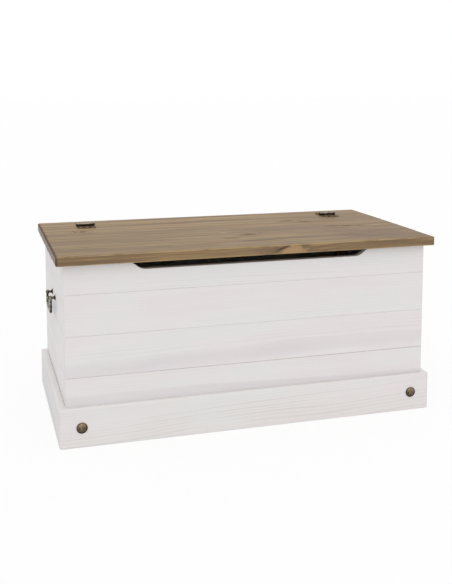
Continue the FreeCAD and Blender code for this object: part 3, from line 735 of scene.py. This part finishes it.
# Rubbed colour of the wax, laid on rubbed places of the top and along the arrises, where it is also a
# painted highlight.
wax_rubbed_and_highlight = (0.50, 0.355, 0.175, 1)
wax_end = (0.185, 0.132, 0.086, 1)
wax_grey = (0.24, 0.20, 0.175, 1)
knot_pale = (0.42, 0.265, 0.135, 1)
wax_ring = 0.0062
rag_cloud = ((70.0, 160.0, 160.0), 3.0)
broad_cloud = ((3.2, 60.0, 60.0), 4.0)
streak_cloud = ((2.5, 110.0, 110.0), 3.0)
patch_cloud = ((5.0, 15.0, 15.0), 3.0)
wax_scuff_and_highlight_cloud = ((20.0, 60.0, 60.0), 4.0)
brushed_cloud = ((3.0, 34.0, 34.0), 1.0)
# Knots: centre, half sizes, how far they push the rings, share of the pale core and of the dark rim
knots = [
    ((-0.372, 0.072, 0.434), (0.013, 0.012, 0.03), 0.009, 0.2, 0.3),
    ((0.026, -0.084, 0.434), (0.020, 0.012, 0.03), 0.010, 0.1, 0.35),
    ((0.222, 0.080, 0.434), (0.026, 0.010, 0.03), 0.009, 0.2, 0.3),
    ((0.089, -0.244, 0.411), (0.044, 0.03, 0.030), 0.006, 0.75, 0.2),
]
knot_rag = 0.9
knot_push_span = (3.0, 0.4)
knot_core_span = (1.0, 0.55)
knot_rim_outside = (1.5, 0.95)
knot_rim_inside = (0.6, 0.95)
not_below_span = (-0.7, -0.2)
# Streaks of pitch and rubbed places on the top: centre, half sizes, slope, share, share of dulling, colour
top_marks = [
    ((-0.379, 0.073), (0.0075, 0.010), -2.5, 0.7, 0.7, wax_deep),
    ((-0.359, 0.070), (0.014, 0.010), 0.25, 0.7, 0.7, wax_deep),
    ((0.188, 0.091), (0.036, 0.007), 0.10, 0.8, 0.7, wax_deep),
    ((0.235, 0.067), (0.020, 0.014), -1.5, 0.5, 0.6, wax_deep),
    ((0.281, -0.022), (0.026, 0.006), -0.22, 0.7, 0.8, wax_deep),
    ((0.319, -0.027), (0.026, 0.006), -0.03, 0.7, 0.8, wax_deep),
    ((0.352, -0.034), (0.018, 0.006), -0.56, 0.6, 0.6, wax_deep),
    ((0.398, -0.031), (0.036, 0.006), 0.27, 0.5, 0.0, wax_rubbed_and_highlight),
    ((-0.024, -0.041), (0.016, 0.008), 0.0, 0.45, 0.0, wax_rubbed_and_highlight),
    ((-0.025, -0.121), (0.034, 0.012), 0.0, 0.4, 0.3, wax_late),
    ((0.030, -0.082), (0.024, 0.013), 0.15, 0.6, 0.5, wax_late),
    ((-0.19, 0.136), (0.11, 0.0015), 0.0, 0.5, 0.0, wax_late),
]
# Dark grain beside the spike knot on the front edge: centre, half sizes, climb, share, colour
spike_shades = [
    ((0.066, -0.242, 0.4292), (0.024, 0.02, 0.0045), 0.37, 0.75, wax_deep),
    ((0.114, -0.242, 0.433), (0.016, 0.02, 0.0045), -0.2, 0.4, wax_late),
]
mark_rag = 0.5
mark_span = (1.1, 0.4)
mark_height = 1.0
on_top_span = (0.5, 0.9)
# Ruddy places, and last a broad one over the right half of the lid that is painted shade: centre, half
# sizes, share
ruddy_and_shaded_places = [
    ((0.34, -0.15, 0.43), (0.16, 0.10, 0.04), 0.45),
    ((0.10, -0.02, 0.43), (0.16, 0.05, 0.04), 0.45),
    ((0.030, -0.24, 0.425), (0.045, 0.010, 0.02), 0.5),
    # Painted shade: darker over the right half of the lid.
    ((0.34, 0.0, 0.43), (0.34, 0.26, 0.04), 0.2),
]
ruddy_and_shaded_rag = 1.2
ruddy_and_shaded_place_span = (1.2, 0.3)
ruddy_span = (0.56, 0.76, 0.4)
ring_wear_span = (0.4, 0.66)
ring_wear_range = 0.6
ring_wear_least = 0.4
ring_share = 0.95
# Layers of stain: cloud, span, colour
wax_layers = [
    ("broad", (0.45, 0.60, 0.3), wax_late),
    ("streak", (0.49, 0.60, 0.5), wax_late),
    ("fibre", (0.5, 0.75, 0.4), wax_late),
    ("patch", (0.46, 0.28, 0.5), wax_olive),
]
end_grain_span = (0.55, 0.85)
pore_span = (0.4, 0.7, 0.5)
long_edge_span = (0.6, 0.95, 0.2)
wax_scuff_and_highlight_span = (0.3, 0.56)
wax_scuff_and_highlight_share = 0.8
lip_share = 0.8
wax_rough_range = 0.24
wax_rough_least = 0.34
dull_rough = 0.5
wax_gloss = 0.25
wax_furrow = -0.5
brushed_height = 10.0
wax_relief = (0.4, 0.0003)


def waxed_pine_finish():
    """Pine stained brown and waxed: uneven late bands and streaks, ruddy and olive patches, a broad painted
    shade over the right half of the lid, knots that the rings bend round, dark streaks of pitch, and colour
    rubbed pale along the arrises, with a painted highlight there too."""
    material, tree, shader = new_finish("waxed_pine_finish")
    coordinates = plumb(tree, "TexCoord")
    place = coordinates["Object"]
    facing = parts(tree, coordinates["Normal"])
    log = own(tree, "log")["Vector"]
    lip = own(tree, "lip")["Fac"]
    ragged = reckon(tree, "SUBTRACT", cloud(tree, place, *rag_cloud)[0], cloud_middle)

    def reach(centre, size, rag, slope=0.0, climb=0.0):
        """Distance from a centre in half sizes, made ragged; the place's X leans it back and lifts it."""
        away = parts(tree, along_axes(tree, "SUBTRACT", place, centre))
        lean = reckon(tree, "MULTIPLY_ADD", away["X"], -slope, away["Y"])
        lift = reckon(tree, "MULTIPLY_ADD", away["X"], -climb, away["Z"])
        leaned = plumb(tree, "CombineXYZ", (("X", away["X"]), ("Y", lean), ("Z", lift)))[0]
        in_sizes = along_axes(tree, "MULTIPLY", leaned, [1 / half for half in size])
        return reckon(tree, "MULTIPLY_ADD", ragged, rag, along_axes(tree, "LENGTH", in_sizes))

    swell, core, rim = 0.0, 0.0, 0.0
    for centre, size, push, core_share, rim_share in knots:
        far = reach(centre, size, knot_rag)
        swell = reckon(tree, "MULTIPLY_ADD", rise(tree, far, *knot_push_span), push, swell)
        core = reckon(tree, "MAXIMUM", rise(tree, far, *knot_core_span, core_share), core)
        band = times(tree, rise(tree, far, *knot_rim_outside), rise(tree, far, *knot_rim_inside))
        rim = reckon(tree, "MAXIMUM", times(tree, band, rim_share), rim)
    core = times(tree, core, rise(tree, facing["Z"], *not_below_span))
    late, fibre = pine_figure(tree, log, wax_ring, swell)[1:]
    patch = cloud(tree, log, *patch_cloud)[0]
    broad = cloud(tree, log, *broad_cloud)[0]
    streak = cloud(tree, log, *streak_cloud)[0]
    clouds = {"broad": broad, "streak": streak, "fibre": fibre, "patch": patch}
    wear = rise(tree, patch, *ring_wear_span)
    worn_rings = times(tree, late, reckon(tree, "MULTIPLY_ADD", wear, ring_wear_range, ring_wear_least))
    colour = stain(tree, times(tree, worn_rings, ring_share), wax_early, wax_late)
    for layer, span, tint in wax_layers:
        colour = stain(tree, rise(tree, clouds[layer], *span), colour, tint)
    ruddy_and_shade = rise(tree, patch, *ruddy_span)
    # Ruddy patches, and painted shade that darkens the right half of the lid.
    for centre, size, share in ruddy_and_shaded_places:
        spot = rise(tree, reach(centre, size, ruddy_and_shaded_rag), *ruddy_and_shaded_place_span)
        ruddy_and_shade = reckon(tree, "MULTIPLY_ADD", spot, share, ruddy_and_shade)
    colour = stain(tree, ruddy_and_shade, colour, wax_ruddy_and_shade)
    end_grain = rise(tree, reckon(tree, "ABSOLUTE", facing["X"]), *end_grain_span)
    pored = stain(tree, rise(tree, fibre, *pore_span), wax_end, wax_deep)
    colour = stain(tree, end_grain, colour, pored)
    long_edge = rise(tree, reckon(tree, "ABSOLUTE", facing["Y"]), *long_edge_span)
    colour = stain(tree, long_edge, colour, wax_grey)
    colour = stain(tree, core, colour, knot_pale)
    colour = stain(tree, rim, colour, wax_deep)
    on_top = rise(tree, facing["Z"], *on_top_span)
    dull = lip
    for (x, y), size, slope, share, dull_share, tint in top_marks:
        far = reach((x, y, 0), (*size, mark_height), mark_rag, slope)
        mark = rise(tree, far, *mark_span, on_top)
        colour = stain(tree, times(tree, mark, share), colour, tint)
        dull = reckon(tree, "MAXIMUM", times(tree, mark, dull_share), dull)
    for centre, size, climb, share, tint in spike_shades:
        far = reach(centre, size, mark_rag, climb=climb)
        colour = stain(tree, rise(tree, far, *mark_span, share), colour, tint)
    # Rubbed pale along the arrises, partly real wear and partly a painted highlight.
    arris_mark = rise(tree, cloud(tree, log, *wax_scuff_and_highlight_cloud)[0], *wax_scuff_and_highlight_span, own(tree, "arris")["Fac"])
    colour = stain(tree, times(tree, arris_mark, wax_scuff_and_highlight_share), colour, wax_rubbed_and_highlight)
    colour = stain(tree, times(tree, lip, lip_share), colour, wax_deep)
    roughness = reckon(tree, "MULTIPLY_ADD", fibre, wax_rough_range, wax_rough_least)
    roughness = reckon(tree, "MULTIPLY_ADD", dull, dull_rough, roughness)
    grain = reckon(tree, "MULTIPLY_ADD", late, wax_furrow, reckon(tree, "ADD", fibre, broad))
    height = reckon(tree, "MULTIPLY_ADD", cloud(tree, log, *brushed_cloud)[0], brushed_height, grain)
    finish_off(tree, shader, toned(tree, colour), roughness, height, *wax_relief)
    shader.inputs["Specular IOR Level"].default_value = wax_gloss
    return material


waxed_pine = waxed_pine_finish()


def top_board(name, node, front_round, back_round, pith, tone):
    """A board of the top, face up: an oblong section, rounded on its ends and on each free long edge."""
    low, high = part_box(node)
    thick = high.z - low.z
    corners = [(0, low.y), (0, high.y), (thick, high.y), (thick, low.y)]
    rounds = [front_round, back_round, back_round, front_round]
    free_front = lid_corner_round * (front_round >= lid_edge_round)
    free_back = lid_corner_round * (back_round >= lid_edge_round)
    shape = section(corners, rounds, [lid_edge_round, free_back, lid_edge_round, free_front],
                    [1, back_round > seam_round, 1, front_round > seam_round])
    return planed_board(name, shape, (low.x, high.x), faced("top", high.z), pith, tone=tone,
                        stations=np.array((low.x + lip_reach, high.x - lip_reach)))


rail_pith = (0.06, 0.215)
rail_tone = 1.18
rail = top_board("waxed_rear_rail", "rear_rail", seam_round, lid_edge_round, rail_pith, rail_tone)
stands_for(rail, "rear_rail", "carcass", waxed_pine)

# Lid. Four pine boards are glued edge to edge and waxed brown; two battens of the same pine, sloped off at
# their ends, are screwed across the underside to keep them flat.

batten_round = 0.0012
batten_slope = 0.006
batten_pith = 0.03
# Round of the front edge and of the back edge, pith, tone
lid_boards = [
    (lid_edge_round, glue_joint, (0.055, -0.17), 0.98),
    (glue_joint, glue_joint, (0.075, -0.10), 1.0),
    (glue_joint, glue_joint, (0.05, 0.045), 1.05),
    (glue_joint, seam_round, (0.06, 0.14), 1.1),
]
for number, (front_round, back_round, pith, tone) in enumerate(lid_boards, 1):
    node = "lid_board_" + str(number)
    board = top_board("waxed_" + node, node, front_round, back_round, pith, tone)
    stands_for(board, node, "lid", waxed_pine)


def batten_slope_off(along, low, high):
    """How much thinner a batten is near its ends: the slope rises as fast as the place nears the end."""
    return np.clip(batten_slope - np.minimum(along - low, high - along), 0, batten_slope)


def under_lid(along, depth, height):
    """Where a batten puts a point: its grain runs from front to back and its height counts downwards."""
    return -depth, along, -height


for side in ("left", "right"):
    low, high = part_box("lid_batten_" + side)
    corners = [(-low.x, -low.z), (-low.x, -high.z), (-high.x, -high.z), (-high.x, -low.z)]
    shape = section(corners, [batten_round, glue_joint, glue_joint, batten_round], [0] * 4, [1, 0, 1, 1])
    batten = planed_board("waxed_batten_" + side, shape, (low.y, high.y), under_lid,
                          (-(low.x + high.x) / 2, -high.z - batten_pith),
                          dip=lambda along: batten_slope_off(along, low.y, high.y),
                          stations=np.array((low.y + batten_slope, high.y - batten_slope)))
    stands_for(batten, "lid_batten_" + side, "lid", waxed_pine)

# Hinges. Two surface hinges lie across the seam of lid and rail: leaves with scalloped ends, interleaved
# knuckles on a pin with low round heads, and three round-headed screws in each leaf, all in the same aged
# brass.

hinge_dark = (0.040, 0.028, 0.019, 1)
hinge_rubbed_and_reflecting = (0.36, 0.305, 0.25, 1)
hinge_rim = (0.48, 0.38, 0.29, 1)
# Upward faces of the hinges are painted brighter, as a reflection of a bright sky.
hinge_top_reflection = 0.5
hinge_wear_and_reflection_span = (0.45, 0.82)
leaf_thick = 0.0018
# The leaves keep this share of the shine: they are painted darker, as shade cast by the knuckles.
leaf_shine = 0.6
leaf_least = 0.5
leaf_fade = 0.0006
knuckle_rise = 0.004
knuckle_shine = 1.0
leaf_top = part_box("hinge_front_leaf_left")[0].z + leaf_thick


def above_leaf(tree, place, shine):
    """Less of the shine on the leaves than on the knuckles that stand above them, rising with height, as
    painted shade cast by the knuckles, but a least share of bright metal all over the leaves."""
    level = parts(tree, place)["Z"]
    above = rise(tree, level, leaf_top, leaf_top + knuckle_rise)
    placed_shine = reckon(tree, "MULTIPLY_ADD", above, knuckle_shine - leaf_shine, leaf_shine)
    least = rise(tree, level, leaf_top + leaf_fade, leaf_top, leaf_least)
    return reckon(tree, "MAXIMUM", times(tree, shine, placed_shine), least)


hinge_brass = aged_brass_finish("hinge_brass_finish", hinge_dark, hinge_rubbed_and_reflecting, hinge_top_reflection,
                                hinge_wear_and_reflection_span, above_leaf, hinge_rim)
hinge_leaves = ["hinge_{}_leaf_{}".format(leaf, side) for leaf in ("rear", "front")
                for side in ("left", "right")]
for node in hinge_leaves + ["hinge_pins", "hinge_rear_screws", "hinge_front_screws"]:
    coat(node, hinge_brass)

# Setting. A wide white floor, flat and matt, runs out to a white surround, so that only the trunk and its
# soft shadow show.

floor_half = 40.0
plain_white = (1, 1, 1, 1)
white_strength = 1.0
surround_strength = 0.87
surround_tint = (0.993, 0.988, 1.025, 1)
straight_share = 0.84
floor_corners = [(-floor_half, -floor_half, 0), (floor_half, -floor_half, 0),
                 (floor_half, floor_half, 0), (-floor_half, floor_half, 0)]
floor_mesh = bpy.data.meshes.new("floor")
floor_mesh.from_pydata(floor_corners, [], [(0, 1, 2, 3)])
floor = bpy.data.objects.new("floor", floor_mesh)
bpy.context.scene.collection.objects.link(floor)


def seen_straight(tree):
    """One for rays that show the surround itself: from the camera, off shiny metal, or through glass."""
    path = plumb(tree, "LightPath")
    seen = reckon(tree, "MAXIMUM", path["Is Camera Ray"], path["Is Glossy Ray"])
    return reckon(tree, "MAXIMUM", seen, path["Is Transmission Ray"])


floor_finish = bpy.data.materials.new("floor_finish")
floor_finish.use_nodes = True
tree = floor_finish.node_tree
matt = plumb(tree, "BsdfDiffuse", (("Color", plain_white),))[0]
glow = plumb(tree, "Emission", (("Color", plain_white), ("Strength", white_strength)))[0]
straight = times(tree, seen_straight(tree), straight_share)
mixed = plumb(tree, "MixShader", ((0, straight), (1, matt), (2, glow)))[0]
tree.links.new(mixed, tree.nodes["Material Output"].inputs["Surface"])
floor_mesh.materials.append(floor_finish)

surround = bpy.data.worlds.new("surround")
surround.use_nodes = True
tree = surround.node_tree
light = plumb(tree, "Background", (("Color", surround_tint), ("Strength", surround_strength)))[0]
white = plumb(tree, "Background", (("Color", plain_white), ("Strength", white_strength)))[0]
mixed = plumb(tree, "MixShader", ((0, seen_straight(tree)), (1, light), (2, white)))[0]
tree.links.new(mixed, tree.nodes["World Output"].inputs["Surface"])
bpy.context.scene.world = surround

# Lamp. One broad soft key light from the front left and above gives the sides their slight difference in
# tone; the surround gives the rest of the light.

key_strength = 0.48
key_tint = (1.0, 0.965, 0.80)
key_spread = np.radians(70)
key_tilt = np.radians(48)
key_turn = np.radians(-15)
key_light = bpy.data.lights.new("key", "SUN")
key_light.energy = key_strength
key_light.color = key_tint
key_light.angle = key_spread
key = bpy.data.objects.new("key", key_light)
key.rotation_euler = (key_tilt, 0, key_turn)
bpy.context.scene.collection.objects.link(key)

# Camera. It stands at the front left at about twice the trunk's height; part of the view's drop is lens
# shift, which keeps the trunk's uprights nearly upright.

camera_place = (-0.6306, -2.1239, 0.8108)
camera_tilt = np.radians(90 - 6.0545)
camera_turn = np.radians(-16.4333)
focal_length = 54.07
film_width = 36.0
lens_shift = -0.2
camera_lens = bpy.data.cameras.new("camera")
camera_lens.lens = focal_length
camera_lens.sensor_width = film_width
camera_lens.shift_y = lens_shift
camera = bpy.data.objects.new("camera", camera_lens)
camera.location = camera_place
camera.rotation_euler = (camera_tilt, 0, camera_turn)
bpy.context.scene.collection.objects.link(camera)
bpy.context.scene.camera = camera
bpy.context.scene.view_settings.view_transform = "Standard"
